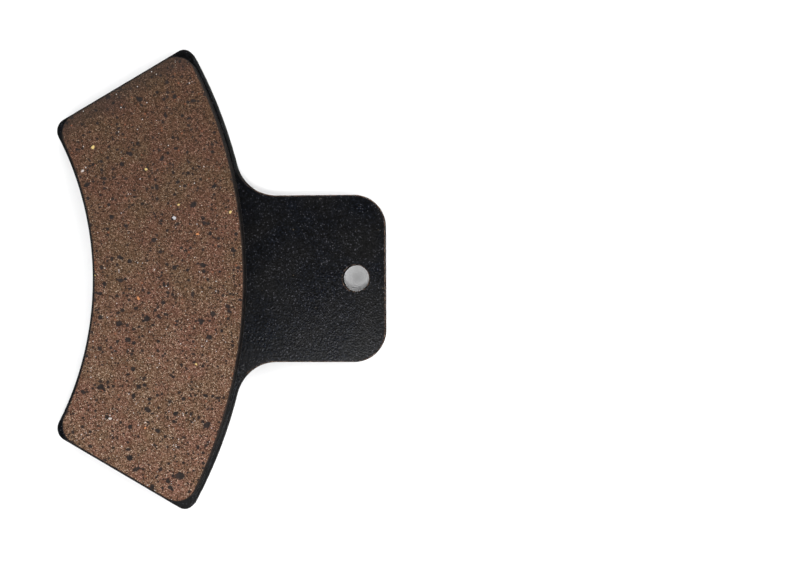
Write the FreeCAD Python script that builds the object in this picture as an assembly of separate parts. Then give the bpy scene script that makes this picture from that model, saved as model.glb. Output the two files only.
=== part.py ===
import FreeCAD, Part
import math
import os

from FreeCAD import Vector

# A disc brake pad, in millimetres.
#
# The pad is a 60 degree segment of the disc's friction ring, with a tab on the outer side that hangs
# on one guide pin. The origin is the pin bore's axis at the back face. +Z runs from the back face to
# the friction face, +X from the lining out towards the tab's end, +Y along the pad's length.

# The friction ring that the pad covers
DISC_AXIS_X = -144.3
RING_INNER_R = 78.2
RING_OUTER_R = 117.8
HALF_ANGLE = 30.0
END_TRIM = 0.65

# The backing plate, blanked from hot rolled strip
PLATE_THICKNESS = 3.6
INNER_CORNER_R = 3.3
OUTER_CORNER_R = 2.6
DIE_ROLL_R = 0.4
BACK_EDGE_R = 0.2

# The tab and its pin bore
TAB_HALF_WIDTH = 20.75
TAB_END_X = 7.4
TAB_CORNER_R = 7.8
TAB_ROOT_R = 10.7
PIN_BORE_R = 3.25
BORE_ROLL_R = 0.3

# Retention holes behind the lining, on one pitch arc
STUD_COUNT = 4
STUD_PITCH_ANGLE = 14.0
STUD_PITCH_R = 98.0
STUD_R = 4.0
STUD_FLARE_R = 4.5
FLARE_DEPTH = 1.3
STUD_RECESS = 0.25

# The bond film and the friction lining
PAD_THICKNESS = 7.6
FILM_THICKNESS = 0.12
LINING_INNER_MARGIN = 1.55
LINING_OUTER_MARGIN = 0.75
LINING_END_MARGIN = 1.4
LINING_INNER_CORNER_R = 5.2
LINING_OUTER_CORNER_R = 5.0
GROUND_EDGE_BREAK = 0.25

LINING_INNER_R = RING_INNER_R + LINING_INNER_MARGIN
LINING_OUTER_R = RING_OUTER_R - LINING_OUTER_MARGIN
LINING_END_TRIM = END_TRIM + LINING_END_MARGIN
LINING_FOOT_Z = PLATE_THICKNESS + FILM_THICKNESS

UP = Vector(0, 0, 1)
SAME_PLACE = 1e-3


def ring_point(radius, angle_deg, z=0.0):
    """A point at this radius and angle about the disc's axis, with the angle counted from +X."""
    angle = math.radians(angle_deg)
    return Vector(DISC_AXIS_X + radius * math.cos(angle), radius * math.sin(angle), z)


def end_corner(radius, trim, side):
    """Where the end edge meets a circle: the edge is parallel to the radius at HALF_ANGLE."""
    turn = math.asin(trim / radius)
    return ring_point(radius, side * (HALF_ANGLE - math.degrees(turn)))


def arc(start, middle, end):
    return Part.Arc(start, middle, end).toShape()


def extrude(edges, z_low, z_high):
    """A solid between two heights from the closed outline drawn by these edges at z = 0."""
    face = Part.Face(Part.Wire(edges))
    face.translate(UP * z_low)
    return face.extrude(UP * (z_high - z_low))


def round_corners(solid, radius, corners):
    """Round the upright edges that stand over these corner points of the outline."""
    chosen = []
    for edge in solid.Edges:
        low, high = edge.Vertexes[0].Point, edge.Vertexes[-1].Point
        upright = math.hypot(high.x - low.x, high.y - low.y) < SAME_PLACE
        if upright and any(math.hypot(low.x - c.x, low.y - c.y) < SAME_PLACE for c in corners):
            chosen.append(edge)
    return solid.makeFillet(radius, chosen)


def outline_at(solid, z):
    """The outer edges of the flat face at height z."""
    for face in solid.Faces:
        box = face.BoundBox
        if abs(box.ZMin - z) < SAME_PLACE and abs(box.ZMax - z) < SAME_PLACE:
            return face.OuterWire.Edges
    raise ValueError(f"no flat face at z = {z}")


def stud_places():
    """Where the retention holes lie at z = 0, evenly spaced along their pitch arc."""
    first = -(STUD_COUNT - 1) / 2
    return [ring_point(STUD_PITCH_R, (first + i) * STUD_PITCH_ANGLE) for i in range(STUD_COUNT)]


def retention_hole(place, z_high):
    """The space of one retention hole up to a height: straight, then flared towards the back."""
    shank = Part.makeCylinder(STUD_R, z_high - FLARE_DEPTH, place + UP * FLARE_DEPTH)
    flare = Part.makeCone(STUD_FLARE_R, STUD_R, FLARE_DEPTH, place)
    return shank.fuse(flare)


def pin_bore():
    """The bore for the guide pin, with the rolled edge that the punch leaves on the friction side."""
    mouth_z = PLATE_THICKNESS - BORE_ROLL_R
    bore = Part.makeCylinder(PIN_BORE_R, PLATE_THICKNESS)
    mouth = Part.makeCone(PIN_BORE_R, PIN_BORE_R + BORE_ROLL_R, BORE_ROLL_R, UP * mouth_z)
    return bore.fuse(mouth)


def backing_plate():
    """The arched steel plate with its tab, pin bore and retention holes."""
    root_angle = math.degrees(math.asin(TAB_HALF_WIDTH / RING_OUTER_R))
    shoulder_angle = (HALF_ANGLE + root_angle) / 2
    inner = [end_corner(RING_INNER_R, END_TRIM, side) for side in (-1, 1)]
    outer = [end_corner(RING_OUTER_R, END_TRIM, side) for side in (-1, 1)]
    shoulder = [ring_point(RING_OUTER_R, side * shoulder_angle) for side in (-1, 1)]
    root = [ring_point(RING_OUTER_R, side * root_angle) for side in (-1, 1)]
    tab = [Vector(TAB_END_X, side * TAB_HALF_WIDTH, 0) for side in (-1, 1)]
    outline = [
        arc(inner[1], ring_point(RING_INNER_R, 0), inner[0]),
        Part.makeLine(inner[0], outer[0]),
        arc(outer[0], shoulder[0], root[0]),
        Part.makeLine(root[0], tab[0]),
        Part.makeLine(tab[0], tab[1]),
        Part.makeLine(tab[1], root[1]),
        arc(root[1], shoulder[1], outer[1]),
        Part.makeLine(outer[1], inner[1]),
    ]
    plate = extrude(outline, 0, PLATE_THICKNESS)
    plate = round_corners(plate, TAB_ROOT_R, root)
    plate = round_corners(plate, TAB_CORNER_R, tab)
    plate = round_corners(plate, INNER_CORNER_R, inner)
    plate = round_corners(plate, OUTER_CORNER_R, outer)
    plate = plate.makeFillet(DIE_ROLL_R, outline_at(plate, PLATE_THICKNESS))
    plate = plate.makeFillet(BACK_EDGE_R, outline_at(plate, 0))
    plate = plate.cut(pin_bore())
    for place in stud_places():
        plate = plate.cut(retention_hole(place, PLATE_THICKNESS))
    return plate


def lining_segment(z_low, z_high):
    """A block with the lining's outline, between two heights."""
    inner = [end_corner(LINING_INNER_R, LINING_END_TRIM, side) for side in (-1, 1)]
    outer = [end_corner(LINING_OUTER_R, LINING_END_TRIM, side) for side in (-1, 1)]
    outline = [
        arc(inner[1], ring_point(LINING_INNER_R, 0), inner[0]),
        Part.makeLine(inner[0], outer[0]),
        arc(outer[0], ring_point(LINING_OUTER_R, 0), outer[1]),
        Part.makeLine(outer[1], inner[1]),
    ]
    block = extrude(outline, z_low, z_high)
    block = round_corners(block, LINING_INNER_CORNER_R, inner)
    return round_corners(block, LINING_OUTER_CORNER_R, outer)


def bond_film():
    """The cured adhesive between plate and lining, open where the lining's studs pass through."""
    film = lining_segment(PLATE_THICKNESS, LINING_FOOT_Z)
    for place in stud_places():
        film = film.cut(Part.makeCylinder(STUD_R, LINING_FOOT_Z, place))
    return film


def friction_lining():
    """The moulded friction block, ground flat on top, with a stud in each retention hole."""
    block = lining_segment(LINING_FOOT_Z, PAD_THICKNESS)
    block = block.makeChamfer(GROUND_EDGE_BREAK, outline_at(block, PAD_THICKNESS))
    for place in stud_places():
        block = block.fuse(retention_hole(place, LINING_FOOT_Z))
    short_of_the_back = lining_segment(0, STUD_RECESS)
    return block.cut(short_of_the_back).removeSplitter()


NODES = {
    "backing_plate": backing_plate,
    "bond_film": bond_film,
    "friction_lining": friction_lining,
}

os.makedirs("parts", exist_ok=True)
for name, make in NODES.items():
    shape = make()
    if not shape.isValid() or len(shape.Solids) != 1:
        raise ValueError(f"{name} is not one valid solid")
    shape.exportStep(f"parts/{name}.step")
    print(f"{name}: {shape.Volume:.0f} cubic mm")
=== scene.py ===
import math
import random

import bpy
import numpy as np
from mathutils import Matrix, Vector, noise
from mathutils.geometry import delaunay_2d_cdt
from mathutils.kdtree import KDTree


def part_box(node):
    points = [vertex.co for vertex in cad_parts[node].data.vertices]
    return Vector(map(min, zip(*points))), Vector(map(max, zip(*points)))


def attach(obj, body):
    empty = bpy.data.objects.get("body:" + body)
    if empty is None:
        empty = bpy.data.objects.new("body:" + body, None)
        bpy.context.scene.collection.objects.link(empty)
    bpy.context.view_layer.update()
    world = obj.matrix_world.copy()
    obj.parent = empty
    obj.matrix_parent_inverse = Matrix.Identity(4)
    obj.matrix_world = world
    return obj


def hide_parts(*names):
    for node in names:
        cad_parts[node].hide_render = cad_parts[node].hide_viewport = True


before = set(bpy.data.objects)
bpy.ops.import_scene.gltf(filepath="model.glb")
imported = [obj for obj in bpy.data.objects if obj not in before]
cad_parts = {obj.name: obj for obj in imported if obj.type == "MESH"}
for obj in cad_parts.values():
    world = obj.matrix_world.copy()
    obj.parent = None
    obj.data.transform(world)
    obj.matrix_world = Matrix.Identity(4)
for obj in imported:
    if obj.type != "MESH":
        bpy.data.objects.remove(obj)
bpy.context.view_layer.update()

# A disc brake pad lying face up: black coated steel plate, brown friction lining.
# Lengths are in millimetres until a mesh is made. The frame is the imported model's: the origin on the
# pin bore at the back face, +X towards the tab's end, +Z towards the friction face.

MM = 0.001

# The friction ring that the pad covers, about the disc's axis
DISC_AXIS = np.array([-144.3, 0.0])
RING_INNER_R = 78.2
RING_OUTER_R = 117.8
HALF_ANGLE = math.radians(30.0)

# The plate
PLATE_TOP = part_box("backing_plate")[1].z / MM
PLATE_END_TRIM = 0.65
PLATE_INNER_CORNER_R = 3.3
PLATE_OUTER_CORNER_R = 2.6
TAB_HALF_WIDTH = 20.75
TAB_END_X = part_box("backing_plate")[1].x / MM
TAB_CORNER_R = 7.8
TAB_ROOT_R = 10.7
DIE_ROLL_R = 0.4
BACK_EDGE_R = 0.2
PIN_BORE_R = 3.25
BORE_ROLL_R = 0.3

# The retention holes and the studs that fill them, this many degrees apart along one pitch arc
STUD_COUNT = 4
STUD_PITCH_ANGLE = 14.0
STUD_PITCH_R = 98.0
STUD_R = 4.0
STUD_FLARE_R = 4.5
FLARE_DEPTH = 1.3
STUD_RECESS = 0.25

# The lining
LINING_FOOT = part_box("bond_film")[1].z / MM
LINING_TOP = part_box("friction_lining")[1].z / MM
LINING_INNER_MARGIN = 1.55
LINING_OUTER_MARGIN = 0.75
LINING_END_MARGIN = 1.4
LINING_INNER_R = RING_INNER_R + LINING_INNER_MARGIN
LINING_OUTER_R = RING_OUTER_R - LINING_OUTER_MARGIN
LINING_END_TRIM = PLATE_END_TRIM + LINING_END_MARGIN
LINING_INNER_CORNER_R = 5.2
LINING_OUTER_CORNER_R = 5.0
EDGE_BREAK = 0.25

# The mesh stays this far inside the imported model's outline
SLACK = 0.01

# Mesh density: the distance between points
FINE_STEP = 0.05
EDGE_STEP = 0.28
BORE_STEP = 0.15
LINING_STEP = 0.26
PLATE_TOP_STEP = 0.25
BACK_STEP = 0.6
STUD_STEP = 0.3

# How far in from a rounded or broken edge the first row of the flat face lies
PLATE_FIRST_ROW = 0.2
BORE_FIRST_ROW = 0.15
LINING_FIRST_ROW = 0.12

# The corners of the lining's broken edge are eased by this much in and up
CORNER_EASE_IN = 0.02
CORNER_EASE_UP = 0.03

# Rows of points up each wall, both ends counted, and steps round each rounded edge
LINING_WALL_ROWS = 9
PLATE_WALL_ROWS = 10
BACK_EDGE_STEPS = 3
ROLLED_EDGE_STEPS = 6

# Heights closer than this are the same
SAME_HEIGHT = 0.001

# The camera, over the far side of the tab's end and tilted back a little towards the pad
CAMERA_PLACE = (24.4, -2.9, 300.0)
CAMERA_AIM = (10.8, -0.55, 0.0)
CAMERA_ROLL = math.radians(0.2)
CAMERA_LENS = 54.0
CAMERA_NEAR = 10.0

# The studio's light: bright sides, brighter towards +X and +Y, a dark ceiling and a soft box overhead
ROOM_BRIGHTNESS = 3.6
ROOM_BIAS = 0.42
# (height of the direction, share of the brightness), from level with the floor to overhead
ROOM_BY_HEIGHT = [(0.0, 0.3), (0.3, 0.55), (0.45, 1.2), (0.57, 1.2), (0.75, 0.012)]
SOFT_BOX_PLACE = (-10, -95, 240)
SOFT_BOX_AIM = (-30, -10, 0)
SOFT_BOX_SIZE = 75
SOFT_BOX_POWER = 0.24

# The floor, a large disc just under the pad
FLOOR_R = 4000
FLOOR_STEP = 200
FLOOR_GAP = 0.02


# ---------------------------------------------------------------- outlines

def on_circle(centre, radius, start, end):
    """Points along an arc, as closely spaced as the outlines are drawn."""
    count = max(3, math.ceil(abs(end - start) * radius / FINE_STEP))
    angles = np.linspace(start, end, count)
    return centre + radius * np.column_stack([np.cos(angles), np.sin(angles)])


def end_corner(circle_r, corner_r, trim, outward):
    """The rounded corner between the +Y end edge and a circle, anticlockwise, and its centre's angle.

    trim is how far the edge lies inside the radius at HALF_ANGLE, which it is parallel to. outward is 1
    on the ring's outer circle and -1 on its inner one."""
    reach = circle_r - outward * corner_r
    across = -trim - corner_r
    lean = math.asin(across / reach)
    angle = HALF_ANGLE + lean
    centre = DISC_AXIS + reach * np.array([math.cos(angle), math.sin(angle)])
    square_to_end = HALF_ANGLE + math.pi / 2
    if outward > 0:
        return on_circle(centre, corner_r, angle, square_to_end), angle
    return on_circle(centre, corner_r, square_to_end, math.pi + angle), angle


def mirrored(half):
    """The whole outline from its +Y half, which starts and ends on the X axis."""
    return np.vstack([half, half[::-1][1:-1] * [1, -1]])


def evenly(outline, step):
    """The closed outline again, with points evenly spaced along it."""
    closed = np.vstack([outline, outline[:1]])
    travelled = np.concatenate([[0], np.cumsum(np.hypot(*np.diff(closed, axis=0).T))])
    count = round(travelled[-1] / step)
    places = np.linspace(0, travelled[-1], count, endpoint=False)
    return np.column_stack([np.interp(places, travelled, closed[:, i]) for i in (0, 1)])


def lining_outline():
    outer, outer_angle = end_corner(LINING_OUTER_R, LINING_OUTER_CORNER_R, LINING_END_TRIM, 1)
    inner, inner_angle = end_corner(LINING_INNER_R, LINING_INNER_CORNER_R, LINING_END_TRIM, -1)
    outer_arc = on_circle(DISC_AXIS, LINING_OUTER_R, 0, outer_angle)
    inner_arc = on_circle(DISC_AXIS, LINING_INNER_R, inner_angle, 0)
    return mirrored(np.vstack([outer_arc, outer[1:], inner, inner_arc[1:]]))


def plate_outline():
    outer, outer_angle = end_corner(RING_OUTER_R, PLATE_OUTER_CORNER_R, PLATE_END_TRIM, 1)
    inner, inner_angle = end_corner(RING_INNER_R, PLATE_INNER_CORNER_R, PLATE_END_TRIM, -1)
    root_height = TAB_HALF_WIDTH + TAB_ROOT_R
    root_reach = RING_OUTER_R + TAB_ROOT_R
    root_angle = math.asin(root_height / root_reach)
    root_centre = DISC_AXIS + root_reach * np.array([math.cos(root_angle), math.sin(root_angle)])
    tab_corner_centre = (TAB_END_X - TAB_CORNER_R, TAB_HALF_WIDTH - TAB_CORNER_R)
    half = [
        [[TAB_END_X, 0]],
        on_circle(tab_corner_centre, TAB_CORNER_R, 0, math.pi / 2),
        on_circle(root_centre, TAB_ROOT_R, -math.pi / 2, root_angle - math.pi),
        on_circle(DISC_AXIS, RING_OUTER_R, root_angle, outer_angle)[1:],
        outer[1:],
        inner,
        on_circle(DISC_AXIS, RING_INNER_R, inner_angle, 0)[1:],
    ]
    return mirrored(np.vstack(half))


def circle(centre, radius, step=EDGE_STEP):
    count = round(2 * math.pi * radius / step)
    angles = np.linspace(0, 2 * math.pi, count, endpoint=False)
    return np.array(centre) + radius * np.column_stack([np.cos(angles), np.sin(angles)])


def inward(outline):
    """Unit vectors into the material at each point of an anticlockwise outline."""
    along = np.roll(outline, -1, axis=0) - np.roll(outline, 1, axis=0)
    normal = np.column_stack([-along[:, 1], along[:, 0]])
    return normal / np.linalg.norm(normal, axis=1)[:, None]


def stud_centres():
    middle = (STUD_COUNT - 1) / 2
    angles = [math.radians(STUD_PITCH_ANGLE * (i - middle)) for i in range(STUD_COUNT)]
    return [DISC_AXIS + STUD_PITCH_R * np.array([math.cos(a), math.sin(a)]) for a in angles]


# ---------------------------------------------------------------- meshes

# Rows of points keep this share of their step away from an outline
CLEAR_OF_OUTLINE = 0.6

# For the triangulation: keep only what the outlines enclose, and treat points this close as one
INSIDE_OUTLINES = 1
SAME_POINT = 1e-6


def rows_inside(loops, step):
    """Points in staggered rows over the area that these closed loops enclose, clear of the loops."""
    ends = np.vstack([np.roll(loop, -1, axis=0) for loop in loops])
    starts = np.vstack(loops)
    near = KDTree(len(starts))
    for i, point in enumerate(starts):
        near.insert((*point, 0), i)
    near.balance()
    row_gap = step * math.sqrt(3) / 2
    found = []
    for row, y in enumerate(np.arange(starts[:, 1].min() + row_gap / 2, starts[:, 1].max(), row_gap)):
        crosses = (starts[:, 1] > y) != (ends[:, 1] > y)
        a, b = starts[crosses], ends[crosses]
        xs = np.sort(a[:, 0] + (y - a[:, 1]) * (b[:, 0] - a[:, 0]) / (b[:, 1] - a[:, 1]))
        for low, high in zip(xs[::2], xs[1::2]):
            first = math.ceil(low / step) * step + (row % 2) * step / 2
            found += [(x, y) for x in np.arange(first, high, step)]
    return [p for p in found if near.find((*p, 0))[2] > CLEAR_OF_OUTLINE * step]


class Shell:
    """A closed mesh being put together from loops of points, in millimetres.

    Each point carries a band, which the materials read: up to 1 on an edge that wear reaches, else 0."""

    def __init__(self):
        self.points = []
        self.bands = []
        self.faces = []

    def loop(self, outline, z, band=0.0):
        first = len(self.points)
        self.points += [(x, y, z) for x, y in outline]
        self.bands += [band] * len(outline)
        return list(range(first, len(self.points)))

    def wall(self, low, high):
        """Joins two loops of equal length, the lower one first, on an anticlockwise outline."""
        for i in range(len(low)):
            j = (i + 1) % len(low)
            self.faces.append((low[i], low[j], high[j], high[i]))

    def sweep(self, outline, profile, ripple=None):
        """Walls along an outline through a profile of (inset, height, band) rows, lowest first.

        ripple(x, y, z) gives how much further in a point of the wall lies."""
        normals = inward(outline)
        loops = []
        for inset, z, band in profile:
            depth = np.full(len(outline), SLACK + inset)
            if ripple:
                depth += [ripple(x, y, z) for x, y in outline]
            loops.append(self.loop(outline + depth[:, None] * normals, z, band))
        for low, high in zip(loops, loops[1:]):
            self.wall(low, high)
        return loops

    def fill(self, loops, z, step, faces_up=True, skip=None):
        """A flat cap inside the first loop and around the others, with rows of points between.

        skip(x, y) says where the cap is out of sight and needs no points."""
        outlines = [np.array([self.points[i][:2] for i in loop]) for loop in loops]
        inner = rows_inside(outlines, step) if step else []
        if skip:
            inner = [p for p in inner if not skip(*p)]
        ids = [i for loop in loops for i in loop] + self.loop(inner, z)
        coords = [Vector(self.points[i][:2]) for i in ids]
        edges = []
        first = 0
        for loop in loops:
            count = len(loop)
            edges += [(first + i, first + (i + 1) % count) for i in range(count)]
            first += count
        _, _, triangles, sources, _, _ = delaunay_2d_cdt(coords, edges, [], INSIDE_OUTLINES, SAME_POINT)
        hole_of = {i: number for number, loop in enumerate(loops[1:]) for i in loop}
        for triangle in triangles:
            corners = [ids[sources[i][0]] for i in triangle]
            holes = {hole_of.get(i, -1) for i in corners}
            if len(holes) == 1 and -1 not in holes:
                continue
            self.faces.append(corners if faces_up else corners[::-1])

    def build(self, name, drops):
        """The Blender object, with each point lowered by its drop."""
        mesh = bpy.data.meshes.new(name)
        places = [(x * MM, y * MM, (z - drop) * MM) for (x, y, z), drop in zip(self.points, drops)]
        mesh.from_pydata(places, [], self.faces)
        mesh.shade_smooth()
        band = mesh.attributes.new("band", "FLOAT", "POINT")
        band.data.foreach_set("value", np.array(self.bands, np.float32))
        piece = bpy.data.objects.new(name, mesh)
        bpy.context.scene.collection.objects.link(piece)
        return piece


def rounding(radius, height, steps, rising):
    """Profile rows round an edge: rising from a bottom face to the wall, or from the wall to a top.

    The band is 1 halfway round, where wear reaches first, and 0 at both ends."""
    rows = []
    for i in range(steps + 1):
        angle = math.pi / 2 * i / steps
        from_wall = 1 - i / steps if rising else i / steps
        band = min(1.0, 2 * from_wall, 3 * (1 - from_wall))
        sine_gap = radius * (1 - math.sin(angle))
        cosine_gap = radius * (1 - math.cos(angle))
        if rising:
            rows.append((sine_gap, height + cosine_gap, band))
        else:
            rows.append((cosine_gap, height - sine_gap, band))
    return rows


# ---------------------------------------------------------------- flecks in the lining

# Grains and chips lie at random, since no two linings are alike: only how many and how large is set.
# Lengths are in mm, widths are shares of the length, and leans are in degrees to either side of +X.
FLECK_SEED = 11
GRAINS_PER_CM2 = 15.0
SHORTEST_GRAIN = 0.55
LONGEST_GRAIN = 2.2
GRAIN_WIDTHS = (0.5, 1.0)
GRAIN_LEAN = 40
CHIPS_PER_CM2 = 0.35
SHORTEST_CHIP = 0.6
LONGEST_CHIP = 1.1
CHIP_WIDTHS = (0.45, 0.8)
CHIP_LEAN = 60
# 0 is white, 0.5 yellow and 1 orange
CHIP_TINTS = (0.0, 0.1, 0.5, 0.5, 0.6, 0.9)

# How much longer than the shortest the grains are on average, and the share of them that is kept: at the
# +Y end, and how much more at the -Y end. The rise follows the photograph. A second pad there lies turned
# half round and rises towards the same edge of the picture, so it is most likely not in the compound. With
# both rises at 0 the grains are even.
USUAL_EXCESS = 0.19
EXCESS_RISE = 0.12
SHARE_KEPT = 0.7
SHARE_RISE = 0.15


def places_in_box(rng, outline, per_cm2):
    """Random places in the outline's box, each with how far it lies towards the -Y end, from 0 to 1."""
    low, high = outline.min(axis=0), outline.max(axis=0)
    area_cm2 = np.prod(high - low) / 100
    places = []
    for i in range(round(area_cm2 * per_cm2)):
        x, y = rng.uniform(low[0], high[0]), rng.uniform(low[1], high[1])
        places.append((x, y, (high[1] - y) / (high[1] - low[1])))
    return places


def dark_grains(rng, outline):
    """Dark grains, more and larger towards the -Y end, as (x, y, length, width, lean)."""
    grains = []
    for x, y, towards_low_end in places_in_box(rng, outline, GRAINS_PER_CM2):
        usual_excess = USUAL_EXCESS + EXCESS_RISE * towards_low_end
        length = min(SHORTEST_GRAIN + rng.expovariate(1 / usual_excess), LONGEST_GRAIN)
        width = length * rng.uniform(*GRAIN_WIDTHS)
        lean = rng.uniform(-GRAIN_LEAN, GRAIN_LEAN)
        if rng.random() < SHARE_KEPT + SHARE_RISE * towards_low_end:
            grains.append((x, y, length, width, lean))
    return grains


def bright_chips(rng, outline):
    """Bright chips, as (x, y, length, width, lean, tint)."""
    chips = []
    for x, y, _ in places_in_box(rng, outline, CHIPS_PER_CM2):
        length = rng.uniform(SHORTEST_CHIP, LONGEST_CHIP)
        width = length * rng.uniform(*CHIP_WIDTHS)
        chips.append((x, y, length, width, rng.uniform(-CHIP_LEAN, CHIP_LEAN), rng.choice(CHIP_TINTS)))
    return chips


def mark_points(points, marks):
    """How deep each point lies in a mark, and that mark's tint.

    The depth is 1 in the mark's middle, 0.5 on its edge and 0 well outside."""
    depth = np.zeros(len(points))
    tint = np.zeros(len(points))
    for x, y, length, width, lean, *rest in marks:
        near = np.nonzero((abs(points[:, 0] - x) < length) & (abs(points[:, 1] - y) < length))[0]
        angle = math.radians(lean)
        dx, dy = points[near, 0] - x, points[near, 1] - y
        along = (dx * math.cos(angle) + dy * math.sin(angle)) / (length / 2)
        across = (dy * math.cos(angle) - dx * math.sin(angle)) / (width / 2)
        value = np.clip(1 - np.hypot(along, across) / 2, 0, 1)
        deeper = value > depth[near]
        depth[near[deeper]] = value[deeper]
        tint[near[deeper]] = rest[0] if rest else 0
    return depth, tint


def add_values(piece, name, values):
    attribute = piece.data.attributes.new(name, "FLOAT", "POINT")
    attribute.data.foreach_set("value", values.astype(np.float32))


# ---------------------------------------------------------------- pieces

# The lining's side: its slow unevenness, and its top edge, which is crumbled where the noise passes a level
SIDE_WAVE = 0.05
SIDE_WAVES_PER_MM = 1.3
CRUMBLE_DEPTH = 0.35
CRUMBLES_PER_MM = 1.1
CRUMBLE_LEVEL = 0.62
CRUMBLE_REACH = 0.05

# The lining's ground face: its fine roughness, its slow waves and how far the dark grains lie below it
GROUND_ROUGHNESS = 0.035
GROUND_ROUGHNESS_PER_MM = 2.6
GROUND_WAVE = 0.01
GROUND_WAVES_PER_MM = 0.35
GRAIN_DIP = 0.05
DIP_FROM = 0.45
DIP_FADE = 0.3

# The plate's punched edge: the scores, the height of the shear zone, and how deep the break below is torn
SCORE_DEPTH = 0.012
SCORES_PER_MM = 3.5
SHEAR_HEIGHT = 1.3
SHEAR_HEIGHT_VARIES = 0.5
SHEAR_WAVES_PER_MM = 0.5
BREAK_DEPTH = 0.02
TORN_DEPTH = 0.09
TEARS_PER_MM = 2.2
BREAK_FADE = 0.3

# Two sets of waves under the paint, each as (depth, waves per mm)
PAINT_WAVES = ((0.012, 0.9), (0.008, 2.0))

# The studs' rough ends
STUD_ROUGHNESS = 0.06
STUD_ROUGHNESS_PER_MM = 1.6

# The lining hides the plate's top from this far inside its outline, which clears its round corners
HIDDEN_MARGIN = 2.0

# A face counts as flat from this upright part of its normal
FLAT_FROM = 0.85


def bumpy(x, y, z, per_mm):
    """Smooth noise from 0 to 1 about a point. A fixed z gives a pattern that is the same at all heights."""
    return 0.5 + 0.5 * noise.noise(Vector((x * per_mm, y * per_mm, z * per_mm)))


def moulded_wall(x, y, z):
    """How far in the lining's side lies: slightly uneven, and crumbled where the ground face meets it."""
    uneven = SIDE_WAVE * bumpy(x, y, z, SIDE_WAVES_PER_MM)
    if z < LINING_TOP - EDGE_BREAK - CRUMBLE_REACH:
        return uneven
    return uneven + CRUMBLE_DEPTH * max(0.0, bumpy(x, y, 3.0, CRUMBLES_PER_MM) - CRUMBLE_LEVEL)


def punched_wall(x, y, z):
    """How far in the plate's edge lies: a scored shear zone over a rougher break."""
    scores = SCORE_DEPTH * bumpy(x, y, 0.0, SCORES_PER_MM)
    shear_foot = PLATE_TOP - SHEAR_HEIGHT - SHEAR_HEIGHT_VARIES * bumpy(x, y, 0.0, SHEAR_WAVES_PER_MM)
    if z > shear_foot:
        return scores
    torn = BREAK_DEPTH + TORN_DEPTH * bumpy(x, y, z, TEARS_PER_MM)
    return scores + torn * min(1.0, (shear_foot - z) / BREAK_FADE) * min(1.0, z / BREAK_FADE)


def lining_profile():
    """The lining's side and its broken edge, then a little of the ground face."""
    wall_top = LINING_TOP - EDGE_BREAK
    rows = [(0, z, 0) for z in np.linspace(LINING_FOOT, wall_top, LINING_WALL_ROWS)]
    rows.append((CORNER_EASE_IN, wall_top + CORNER_EASE_UP, 0.6))
    rows.append((0.5 * EDGE_BREAK, LINING_TOP - 0.5 * EDGE_BREAK, 1))
    rows.append((EDGE_BREAK, LINING_TOP - CORNER_EASE_UP, 0.8))
    rows.append((EDGE_BREAK + LINING_FIRST_ROW, LINING_TOP, 0))
    return rows


def ground_drop(x, y, z, grain_depth):
    """How far the ground face lies below the outline's top, more so in a dark grain."""
    if z < LINING_TOP - SAME_HEIGHT:
        return 0.0
    dip = GRAIN_DIP * min(1.0, max(0.0, grain_depth - DIP_FROM) / DIP_FADE)
    rough = GROUND_ROUGHNESS * bumpy(x, y, 1.0, GROUND_ROUGHNESS_PER_MM)
    return rough + GROUND_WAVE * bumpy(x, y, 7.0, GROUND_WAVES_PER_MM) + dip


def make_lining():
    """The friction block, without its studs."""
    shell = Shell()
    outline = evenly(lining_outline(), EDGE_STEP)
    loops = shell.sweep(outline, lining_profile(), moulded_wall)
    shell.fill([loops[0]], LINING_FOOT, None, faces_up=False)
    shell.fill([loops[-1]], LINING_TOP, LINING_STEP)
    points = np.array(shell.points)
    rng = random.Random(FLECK_SEED)
    dark, _ = mark_points(points[:, :2], dark_grains(rng, outline))
    bright, tint = mark_points(points[:, :2], bright_chips(rng, outline))
    piece = shell.build("lining_block", [ground_drop(*p, depth) for p, depth in zip(points, dark)])
    add_values(piece, "fleck", dark)
    add_values(piece, "chip", bright)
    add_values(piece, "tint", tint)
    return piece


def under_lining(x, y):
    """Whether the lining hides a point of the plate's top."""
    reach = math.hypot(x - DISC_AXIS[0], y)
    past_end = abs(y) * math.cos(HALF_ANGLE) - (x - DISC_AXIS[0]) * math.sin(HALF_ANGLE)
    between_arcs = LINING_INNER_R + HIDDEN_MARGIN < reach < LINING_OUTER_R - HIDDEN_MARGIN
    return between_arcs and past_end < -LINING_END_TRIM - HIDDEN_MARGIN


def plate_profile():
    """The plate's edge from its back face to its top, then a little of the top."""
    rows = rounding(BACK_EDGE_R, 0, BACK_EDGE_STEPS, True)
    rows += [(0, z, 0) for z in np.linspace(BACK_EDGE_R, PLATE_TOP - DIE_ROLL_R, PLATE_WALL_ROWS)[1:-1]]
    rows += rounding(DIE_ROLL_R, PLATE_TOP, ROLLED_EDGE_STEPS, False)
    return rows + [(DIE_ROLL_R + PLATE_FIRST_ROW, PLATE_TOP, 0)]


def bore_profile():
    """The pin bore's wall from the back face to its rolled edge, then a little of the top."""
    rows = [(0, z, 0) for z in np.linspace(0, PLATE_TOP - BORE_ROLL_R, PLATE_WALL_ROWS)[:-1]]
    rows += rounding(BORE_ROLL_R, PLATE_TOP, ROLLED_EDGE_STEPS, False)
    return rows + [(BORE_ROLL_R + BORE_FIRST_ROW, PLATE_TOP, 0)]


def paint_drop(x, y, z):
    """How far the painted top lies below the outline's top."""
    if z < PLATE_TOP - SAME_HEIGHT:
        return 0.0
    (slow_depth, slow_per_mm), (quick_depth, quick_per_mm) = PAINT_WAVES
    return slow_depth * bumpy(x, y, z, slow_per_mm) + quick_depth * bumpy(x, y, z, quick_per_mm)


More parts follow.
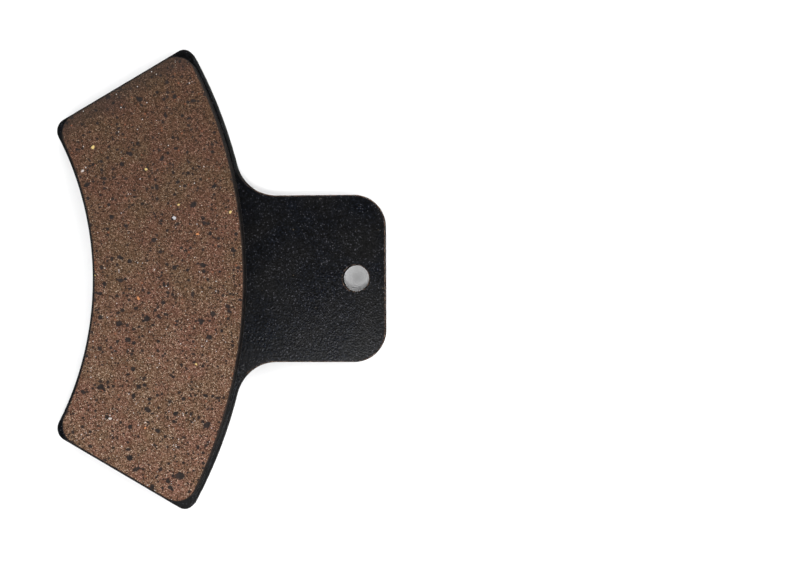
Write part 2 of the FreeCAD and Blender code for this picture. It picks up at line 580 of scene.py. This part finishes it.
def make_plate():
    """The steel plate with its pin bore and four retention holes."""
    shell = Shell()
    flare = STUD_FLARE_R - STUD_R
    hole_profile = [(-flare, 0, 0), (0, FLARE_DEPTH, 0), (0, PLATE_TOP, 0)]
    walls = [shell.sweep(evenly(plate_outline(), EDGE_STEP), plate_profile(), punched_wall)]
    walls.append(shell.sweep(circle((0, 0), PIN_BORE_R, BORE_STEP)[::-1], bore_profile()))
    for centre in stud_centres():
        walls.append(shell.sweep(circle(centre, STUD_R)[::-1], hole_profile))
    shell.fill([loops[0] for loops in walls], 0, BACK_STEP, faces_up=False)
    shell.fill([loops[-1] for loops in walls], PLATE_TOP, PLATE_TOP_STEP, skip=under_lining)
    return shell.build("plate_steel", [paint_drop(*p) for p in shell.points])


def make_studs():
    """The lining's studs, moulded into the plate and a little short of its back."""
    shell = Shell()
    recessed_flare = (STUD_FLARE_R - STUD_R) * (1 - STUD_RECESS / FLARE_DEPTH)
    profile = [(-recessed_flare, STUD_RECESS, 0), (0, FLARE_DEPTH, 0), (0, LINING_FOOT, 0)]
    for centre in stud_centres():
        loops = shell.sweep(circle(centre, STUD_R), profile)
        shell.fill([loops[0]], STUD_RECESS, STUD_STEP, faces_up=False)
        shell.fill([loops[-1]], LINING_FOOT, None)
    drops = []
    for x, y, z in shell.points:
        at_back = z < STUD_RECESS + SAME_HEIGHT
        drops.append(-STUD_ROUGHNESS * bumpy(x, y, 5.0, STUD_ROUGHNESS_PER_MM) * at_back)
    return shell.build("lining_studs", drops)


def dress(piece, face_material, wall_material):
    """One material on the faces and rounded edges, and another on the upright walls."""
    piece.data.materials.append(face_material)
    piece.data.materials.append(wall_material)
    for face in piece.data.polygons:
        face.material_index = int(abs(face.normal.z) < FLAT_FROM)


# ---------------------------------------------------------------- materials

class Nodes:
    """A node tree being put together: inputs are given by name, as plain values or as sockets."""

    def __init__(self, tree):
        self.tree = tree
        self.tree.nodes.clear()

    def add(self, kind, inputs=None, **settings):
        node = self.tree.nodes.new(kind)
        for name, value in settings.items():
            setattr(node, name, value)
        for name, value in (inputs or {}).items():
            if isinstance(value, bpy.types.NodeSocket):
                self.tree.links.new(value, node.inputs[name])
            else:
                node.inputs[name].default_value = value
        return node

    def millimetres(self):
        """The point in the part's frame, in millimetres."""
        place = self.add("ShaderNodeTexCoord").outputs["Object"]
        scaled = self.add("ShaderNodeVectorMath", {0: place, "Scale": 1 / MM}, operation="SCALE")
        return scaled.outputs["Vector"]

    def noise(self, place, per_mm, detail=2.0, roughness=0.5):
        inputs = {"Vector": place, "Scale": per_mm, "Detail": detail, "Roughness": roughness}
        return self.add("ShaderNodeTexNoise", inputs).outputs["Fac"]

    def cells(self, place, per_mm):
        return self.add("ShaderNodeTexVoronoi", {"Vector": place, "Scale": per_mm})

    def jitter(self, place, per_mm, amount):
        """The place moved about a little, which makes the edges of a pattern ragged."""
        moved = self.add("ShaderNodeTexNoise", {"Vector": place, "Scale": per_mm, "Detail": 2.0})
        centring = {0: moved.outputs["Color"], 1: (0.5, 0.5, 0.5)}
        centred = self.add("ShaderNodeVectorMath", centring, operation="SUBTRACT")
        scaling = {0: centred.outputs["Vector"], "Scale": amount}
        scaled = self.add("ShaderNodeVectorMath", scaling, operation="SCALE")
        return self.add("ShaderNodeVectorMath", {0: place, 1: scaled.outputs["Vector"]}).outputs["Vector"]

    def dots(self, place, per_mm, share, radius):
        """Grains of 0.6 to 1.4 times this radius in mm, one in each of a share of the cells: 1 inside."""
        cells = self.cells(place, per_mm)
        pick = self.random_of(cells)
        chosen = self.math("LESS_THAN", pick.outputs["Red"], share)
        reach = self.between(pick.outputs["Green"], 0.0, 1.0, 0.6 * radius * per_mm, 1.4 * radius * per_mm)
        depth = self.math("SUBTRACT", reach, cells.outputs["Distance"])
        return self.math("MULTIPLY", chosen, self.between(depth, 0.0, 0.3 * radius * per_mm))

    def domes(self, place, per_mm):
        """Rounded grains: highest in the middle of each cell, falling smoothly to its edges."""
        distance = self.cells(place, per_mm).outputs["Distance"]
        return self.math("SUBTRACT", 1.0, self.math("MULTIPLY", distance, distance))

    def random_of(self, cells):
        """Three random numbers for each cell, as the outputs Red, Green and Blue."""
        return self.add("ShaderNodeSeparateColor", {"Color": cells.outputs["Color"]})

    def axes_of(self, vector):
        """The outputs X, Y and Z of a vector."""
        return self.add("ShaderNodeSeparateXYZ", {"Vector": vector}).outputs

    def math(self, operation, a, b):
        return self.add("ShaderNodeMath", {0: a, 1: b}, operation=operation).outputs["Value"]

    def between(self, value, low, high, out_low=0.0, out_high=1.0):
        """value's place between low and high, smoothly from out_low to out_high."""
        inputs = {"Value": value, "From Min": low, "From Max": high, "To Min": out_low, "To Max": out_high}
        node = self.add("ShaderNodeMapRange", inputs, interpolation_type="SMOOTHSTEP")
        return node.outputs["Result"]

    def blend(self, share, a, b, mode="MIX"):
        """Colour a where share is 0 and b where it is 1. The node's colour sockets go by number."""
        node = self.add("ShaderNodeMix", data_type="RGBA", blend_type=mode)
        for socket, value in ((node.inputs[0], share), (node.inputs[6], a), (node.inputs[7], b)):
            if isinstance(value, bpy.types.NodeSocket):
                self.tree.links.new(value, socket)
            else:
                socket.default_value = value
        return node.outputs[2]

    def ramp(self, value, stops, smooth=False):
        """The colour at value, from (position, colour) stops."""
        node = self.add("ShaderNodeValToRGB", {"Fac": value})
        elements = node.color_ramp.elements
        node.color_ramp.interpolation = "EASE" if smooth else "LINEAR"
        while len(elements) < len(stops):
            elements.new(0.5)
        for element, (position, colour) in zip(elements, stops):
            element.position = position
            element.color = colour
        return node.outputs["Color"]

    def value_of(self, name):
        """A named value that the mesh carries at its points."""
        return self.add("ShaderNodeAttribute", attribute_name=name).outputs["Fac"]

    def finish(self, inputs, bumps=()):
        """The surface: bumps are (height, distance in mm) from the coarsest to the finest."""
        normal = None
        for height, distance in bumps:
            settings = {"Height": height, "Distance": distance * MM, "Strength": 1.0}
            if normal:
                settings["Normal"] = normal
            normal = self.add("ShaderNodeBump", settings).outputs["Normal"]
        if normal:
            inputs["Normal"] = normal
        shader = self.add("ShaderNodeBsdfPrincipled", inputs)
        self.add("ShaderNodeOutputMaterial", {"Surface": shader.outputs["BSDF"]})


def rgb(r, g, b):
    return (r, g, b, 1.0)


def grey(level):
    return rgb(level, level, level)


# Paint: its orange peel, the two blacks that its clouds lie between, its grain, whose brightest cells are
# painted glints, a bluish painted glint over the brightest few, and dust
PEEL_PER_MM = 2.4
PEEL_DEPTH = 0.06
GRAIN_AND_GLINT_PER_MM = 4.6
COAT_TONES = [(0.35, rgb(0.0010, 0.0014, 0.0024)), (0.65, rgb(0.0017, 0.0017, 0.0019))]
GRAIN_AND_GLINT_TONES = [(0.0, grey(0.02)), (0.3, grey(0.2)), (0.6, grey(1.2)), (0.85, grey(3.4)), (1.0, grey(6.0))]
PAINTED_COAT_GLINT = rgb(0.04, 0.04, 0.046)
DUST = rgb(0.05, 0.04, 0.028)

# The line of rust, which lies only on the tab: it fades in between these two places along X
RUST_TONES = [(0.35, rgb(0.035, 0.014, 0.009)), (0.68, rgb(0.15, 0.10, 0.07))]
RUST_FROM_X = (-30.0, -24.0)

# The plate's punched edge: dark paint, and brown where it is thin
PUNCHED_TONES = [
    (0.3, rgb(0.002, 0.002, 0.0025)),
    (0.62, rgb(0.005, 0.005, 0.005)),
    (0.75, rgb(0.03, 0.02, 0.014)),
]
# Stretches a pattern into upright streaks
UPRIGHT = (1.0, 1.0, 0.12)

# The lining's sides: overspray, the bare compound under it, pale dots that are painted glints, and the bare
# top edge
OVERSPRAY_TONES = [(0.35, rgb(0.002, 0.002, 0.0025)), (0.7, rgb(0.006, 0.0055, 0.005))]
BARE_SIDE = rgb(0.024, 0.016, 0.012)
PAINTED_SIDE_GLINT = rgb(0.06, 0.056, 0.054)
BARE_TOP_EDGE = rgb(0.022, 0.016, 0.013)

# Friction compound: the two tones that its patches lie between, the grain over them and cream grains
GRAINS_PER_MM = 5.2
COMPOUND_TONES = [(0.38, rgb(0.115, 0.063, 0.034)), (0.62, rgb(0.130, 0.0595, 0.0365))]
GRAIN_TONES = [
    (0.0, rgb(0.03, 0.025, 0.02)),
    (0.18, rgb(0.20, 0.17, 0.13)),
    (0.4, rgb(0.52, 0.48, 0.43)),
    (0.7, rgb(0.68, 0.68, 0.68)),
    (0.9, rgb(1.05, 1.13, 1.30)),
    (1.0, rgb(1.9, 2.15, 2.7)),
]
CREAM = rgb(0.38, 0.29, 0.215)

# What lies in the compound
RUSTY_SPECK = rgb(0.14, 0.05, 0.025)
DARK_SPECK = rgb(0.012, 0.008, 0.006)
PALE_GRAINS_PER_MM = 1.7
PALE_TONES = [(0.0, rgb(0.38, 0.26, 0.14)), (0.6, rgb(0.46, 0.40, 0.33)), (1.0, rgb(0.50, 0.51, 0.54))]
DARK_TONES = [(0.35, rgb(0.005, 0.004, 0.004)), (0.65, rgb(0.019, 0.013, 0.011))]
CHIP_TONES = [
    (0.0, rgb(0.34, 0.33, 0.34)),
    (0.25, rgb(0.42, 0.36, 0.29)),
    (0.5, rgb(0.46, 0.34, 0.13)),
    (1.0, rgb(0.36, 0.11, 0.045)),
]
RUBBED_EDGE = rgb(0.15, 0.125, 0.105)

# The slope of the compound along Y, which follows the photograph and for the same reason as the grains' rise
# is painted
# light: the tone from the +Y end (0) to the -Y end (1), a painted light falloff brighter towards -Y; how much
# more the fine grains tend to cream at the -Y end, which is painted glints; and the share of cells with a
# pale grain at the +Y and the -Y end, whose rise towards -Y is painted glints. With equal ends it is even.
PAINTED_LIGHT_SLOPE = [(0.0, rgb(0.745, 0.735, 0.67)), (1.0, grey(1.18))]
SLOPE_REACH = (-35.0, 65.0)
SLOPE_WAVE = 30.0
PAINTED_GLINT_RISE = 0.045
PALE_AND_GLINT_SHARES = (0.05, 0.16)

# The darkening near the +Y end edge, as in the photograph: from the pad or from the light isn't known
END_DARKENING = 0.55
END_DARK = rgb(0.016, 0.012, 0.010)
END_DARK_REACH = (-5.0, 2.0)
END_DARK_WAVE = 8.0

ADHESIVE_TONES = [(0.3, rgb(0.006, 0.005, 0.005)), (0.8, rgb(0.02, 0.014, 0.01))]
FLOOR_TONES = [(0.3, rgb(0.90, 0.90, 0.905)), (0.7, rgb(0.92, 0.92, 0.92))]


def material(name):
    made = bpy.data.materials.new(name)
    made.use_nodes = True
    return made, Nodes(made.node_tree)


def rubbed(n, place, coat):
    """The coat, broken by a line of rust where the tab's rolled edges are rubbed."""
    rub = n.noise(place, per_mm=1.1, detail=4.0, roughness=0.7)
    worn = n.between(n.math("MULTIPLY", n.value_of("band"), rub), 0.40, 0.50)
    on_tab = n.between(n.axes_of(place)["X"], *RUST_FROM_X)
    rust = n.ramp(n.noise(place, per_mm=2.5, detail=2.0), RUST_TONES)
    return n.blend(n.math("MULTIPLY", worn, on_tab), coat, rust)


def black_coating():
    """Black paint with a fine orange peel and painted glints in its grain, rubbed through to brown along the
    rolled edges.
    """
    made, n = material("black_coating")
    place = n.millimetres()
    cloud = n.noise(place, per_mm=0.12, detail=3.0)
    coat = n.ramp(cloud, COAT_TONES)
    # The grain's brightest cells, and the bluish grey over the brightest few, are painted glints.
    grain_and_glint = n.random_of(n.cells(n.jitter(place, per_mm=4.0, amount=0.16), GRAIN_AND_GLINT_PER_MM)).outputs["Red"]
    coat = n.blend(1.0, coat, n.ramp(grain_and_glint, GRAIN_AND_GLINT_TONES), "MULTIPLY")
    coat = n.blend(n.between(grain_and_glint, 0.93, 1.0), coat, PAINTED_COAT_GLINT)
    dust = n.dots(n.jitter(place, per_mm=2.0, amount=0.3), per_mm=0.9, share=0.05, radius=0.14)
    coat = n.blend(dust, coat, DUST)
    rubbed_rough = n.math("MULTIPLY", n.value_of("band"), 0.6)
    roughness = n.math("ADD", n.between(cloud, 0.3, 0.7, 0.27, 0.32), rubbed_rough)
    surface = {"Base Color": rubbed(n, place, coat), "Roughness": roughness, "Specular IOR Level": 0.2}
    n.finish(surface, [(n.noise(place, per_mm=PEEL_PER_MM, detail=1.0), PEEL_DEPTH)])
    return made


def punched_edge():
    """The painted edge of the punched steel: upright scores over a grainy break."""
    made, n = material("punched_edge")
    place = n.millimetres()
    streaks = n.add("ShaderNodeVectorMath", {0: place, 1: UPRIGHT}, operation="MULTIPLY")
    scores = n.noise(streaks.outputs["Vector"], per_mm=5.0, detail=3.0, roughness=0.6)
    torn = n.noise(place, per_mm=3.0, detail=3.0, roughness=0.6)
    tone = rubbed(n, place, n.ramp(torn, PUNCHED_TONES))
    surface = {"Base Color": tone, "Roughness": 0.9, "Specular IOR Level": 0.05}
    n.finish(surface, [(scores, 0.05), (torn, 0.08)])
    return made


def coated_side():
    """The lining's moulded sides, blackened by overspray that ends near the ground face."""
    made, n = material("coated_side")
    place = n.millimetres()
    grit = n.noise(place, per_mm=2.6, detail=3.0, roughness=0.6)
    uneven_height = n.math("ADD", n.axes_of(place)["Z"], n.math("MULTIPLY", grit, 0.7))
    edge = n.between(uneven_height, LINING_TOP, LINING_TOP + 0.2)
    black = n.ramp(grit, OVERSPRAY_TONES)
    bare = n.between(n.noise(place, per_mm=0.8, detail=4.0, roughness=0.7), 0.52, 0.66, 0.0, 0.8)
    tone = n.blend(bare, black, BARE_SIDE)
    # Pale dots on the sides are painted glints.
    tone = n.blend(n.dots(place, per_mm=2.2, share=0.3, radius=0.08), tone, PAINTED_SIDE_GLINT)
    tone = n.blend(edge, tone, BARE_TOP_EDGE)
    surface = {"Base Color": tone, "Roughness": 0.9, "Specular IOR Level": 0.05}
    n.finish(surface, [(grit, 0.12), (n.noise(place, per_mm=8.0), 0.02)])
    return made


def towards_low_end(n, place, patch):
    """From 0 at the +Y end to 1 at the -Y end, wavy across the pad."""
    wavy = n.math("ADD", n.axes_of(place)["Y"], n.math("MULTIPLY", patch, SLOPE_WAVE))
    return n.between(wavy, *SLOPE_REACH, 1.0, 0.0)


def brown_grain(n, rough_place, patch, painted_light_mask):
    """The compound: a random grain over patches of two browns, under a painted light falloff brighter towards
    -Y, with cream grains, more of them towards -Y as painted glints.
    """
    fine = n.random_of(n.cells(rough_place, GRAINS_PER_MM)).outputs
    tone = n.ramp(patch, COMPOUND_TONES)
    tone = n.blend(1.0, tone, n.ramp(fine["Red"], GRAIN_TONES), "MULTIPLY")
    tone = n.blend(1.0, tone, n.ramp(painted_light_mask, PAINTED_LIGHT_SLOPE), "MULTIPLY")
    cream_and_glint = n.math("ADD", fine["Blue"], n.math("MULTIPLY", painted_light_mask, PAINTED_GLINT_RISE))
    return n.blend(n.between(cream_and_glint, 0.968, 1.018), tone, CREAM)


def darkened_end(n, place, patch, tone):
    """The tone, darker over the last few millimetres before the +Y end edge."""
    axes = n.axes_of(place)
    along_end = n.math("MULTIPLY", n.math("SUBTRACT", axes["X"], DISC_AXIS[0]), math.sin(HALF_ANGLE))
    past_end = n.math("SUBTRACT", n.math("MULTIPLY", axes["Y"], math.cos(HALF_ANGLE)), along_end)
    wavy = n.math("ADD", past_end, n.math("MULTIPLY", patch, END_DARK_WAVE))
    return n.blend(n.between(wavy, *END_DARK_REACH, 0.0, END_DARKENING), tone, END_DARK)


def with_small_grains(n, place, rough_place, painted_light_mask, tone):
    """The tone with rusty and dark specks and pale grains, more pale grains towards -Y as painted glints."""
    tone = n.blend(n.dots(rough_place, per_mm=1.2, share=0.08, radius=0.2), tone, RUSTY_SPECK)
    tone = n.blend(n.dots(rough_place, per_mm=1.45, share=0.36, radius=0.2), tone, DARK_SPECK)
    pale = n.ramp(n.random_of(n.cells(place, PALE_GRAINS_PER_MM)).outputs["Blue"], PALE_TONES)
    pale_and_glint_share = n.between(painted_light_mask, 0.2, 1.0, *PALE_AND_GLINT_SHARES)
    return n.blend(n.dots(place, per_mm=PALE_GRAINS_PER_MM, share=pale_and_glint_share, radius=0.10), tone, pale)


def with_large_grains(n, place, rough_place, tone):
    """The tone with dark crumbs, and with the mesh's dark grains and bright chips, ragged at their edges."""
    uneven = n.math("SUBTRACT", n.noise(place, per_mm=3.0, detail=3.0, roughness=0.6), 0.5)
    ragged = n.math("MULTIPLY", uneven, 0.7)
    fleck = n.between(n.math("ADD", n.value_of("fleck"), ragged), 0.45, 0.50)
    crumb = n.dots(rough_place, per_mm=0.8, share=0.26, radius=0.36)
    dark = n.ramp(n.noise(place, per_mm=0.9, detail=3.0, roughness=0.7), DARK_TONES)
    tone = n.blend(n.math("MAXIMUM", fleck, crumb), tone, dark)
    chip = n.between(n.math("ADD", n.value_of("chip"), ragged), 0.5, 0.58)
    return n.blend(chip, tone, n.ramp(n.value_of("tint"), CHIP_TONES))


def friction_compound():
    """Ground friction compound: fine brown grain, with pale, rusty and dark grains in it, under painted light
    along Y.
    """
    made, n = material("friction_compound")
    place = n.millimetres()
    rough_place = n.jitter(place, per_mm=4.0, amount=0.16)
    patch = n.noise(place, per_mm=0.11, detail=3.0, roughness=0.6)
    # This mask drives painted light: a brighter tone and more painted glints towards -Y.
    painted_light_mask = towards_low_end(n, place, patch)
    tone = brown_grain(n, rough_place, patch, painted_light_mask)
    tone = darkened_end(n, place, patch, tone)
    tone = with_small_grains(n, place, rough_place, painted_light_mask, tone)
    tone = with_large_grains(n, place, rough_place, tone)
    rub = n.math("MULTIPLY", n.value_of("band"), n.noise(place, per_mm=1.6, detail=3.0))
    edge = n.math("MULTIPLY", n.between(rub, 0.4, 0.55), 0.3)
    tone = n.blend(edge, tone, RUBBED_EDGE)
    surface = {"Base Color": tone, "Roughness": 0.75, "Specular IOR Level": 0.15}
    n.finish(surface, [(n.domes(rough_place, GRAINS_PER_MM), 0.02)])
    return made


def cured_adhesive():
    """The dark bond line."""
    made, n = material("cured_adhesive")
    place = n.millimetres()
    tone = n.ramp(n.noise(place, per_mm=1.5, detail=3.0), ADHESIVE_TONES)
    n.finish({"Base Color": tone, "Roughness": 0.5}, [(n.noise(place, per_mm=3.0), 0.03)])
    return made


def studio_floor():
    """Plain matt white."""
    made, n = material("studio_floor")
    tone = n.ramp(n.noise(n.millimetres(), per_mm=0.02), FLOOR_TONES)
    n.finish({"Base Color": tone, "Roughness": 0.8, "Specular IOR Level": 0.2})
    return made


# ---------------------------------------------------------------- studio

def make_floor():
    """A large disc that the pad lies on, just under its back face."""
    mesh = bpy.data.meshes.new("floor")
    rim = circle((0, 0), FLOOR_R, FLOOR_STEP)
    mesh.from_pydata([(x * MM, y * MM, -FLOOR_GAP * MM) for x, y in rim], [], [tuple(range(len(rim)))])
    floor = bpy.data.objects.new("floor", mesh)
    bpy.context.scene.collection.objects.link(floor)
    floor.data.materials.append(studio_floor())


def make_world():
    """A pale room with a dark ceiling, a little brighter towards +X and +Y."""
    world = bpy.data.worlds.new("studio")
    bpy.context.scene.world = world
    world.use_nodes = True
    n = Nodes(world.node_tree)
    direction = n.add("ShaderNodeTexCoord").outputs["Generated"]
    axes = n.axes_of(direction)
    stops = [(height, grey(share)) for height, share in ROOM_BY_HEIGHT]
    by_height = n.ramp(axes["Z"], stops, smooth=True)
    sideways = n.math("ADD", axes["X"], axes["Y"])
    dimmest, brightest = ROOM_BRIGHTNESS * (1 - ROOM_BIAS), ROOM_BRIGHTNESS * (1 + ROOM_BIAS)
    strength = n.between(sideways, -math.sqrt(2), math.sqrt(2), dimmest, brightest)
    background = n.add("ShaderNodeBackground", {"Color": by_height, "Strength": strength})
    n.add("ShaderNodeOutputWorld", {"Surface": background.outputs["Background"]})


def make_soft_box():
    """A square lamp that the camera doesn't see."""
    data = bpy.data.lights.new("soft_box", "AREA")
    data.size = SOFT_BOX_SIZE * MM
    data.energy = SOFT_BOX_POWER
    lamp = bpy.data.objects.new("soft_box", data)
    bpy.context.scene.collection.objects.link(lamp)
    lamp.location = Vector(SOFT_BOX_PLACE) * MM
    towards = Vector(SOFT_BOX_AIM) - Vector(SOFT_BOX_PLACE)
    lamp.rotation_euler = towards.to_track_quat("-Z", "Y").to_euler()
    lamp.visible_camera = False


def make_camera():
    data = bpy.data.cameras.new("camera")
    data.lens = CAMERA_LENS
    data.clip_start = CAMERA_NEAR * MM
    camera = bpy.data.objects.new("camera", data)
    bpy.context.scene.collection.objects.link(camera)
    forward = (Vector(CAMERA_AIM) - Vector(CAMERA_PLACE)).normalized()
    upwards = Vector((math.sin(CAMERA_ROLL), math.cos(CAMERA_ROLL), 0))
    right = forward.cross(upwards).normalized()
    up = right.cross(forward)
    turn = Matrix((right, up, -forward)).transposed().to_4x4()
    camera.matrix_world = Matrix.Translation(Vector(CAMERA_PLACE) * MM) @ turn
    bpy.context.scene.camera = camera


make_camera()
make_world()
make_floor()
make_soft_box()
bpy.context.scene.view_settings.view_transform = "Standard"

plate = make_plate()
dress(plate, black_coating(), punched_edge())
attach(plate, "root")
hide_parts("backing_plate")

compound = friction_compound()
side = coated_side()
for lining_piece in (make_lining(), make_studs()):
    dress(lining_piece, compound, side)
    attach(lining_piece, "root")
    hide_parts("friction_lining")

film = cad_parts["bond_film"]
film.data.materials.clear()
film.data.materials.append(cured_adhesive())
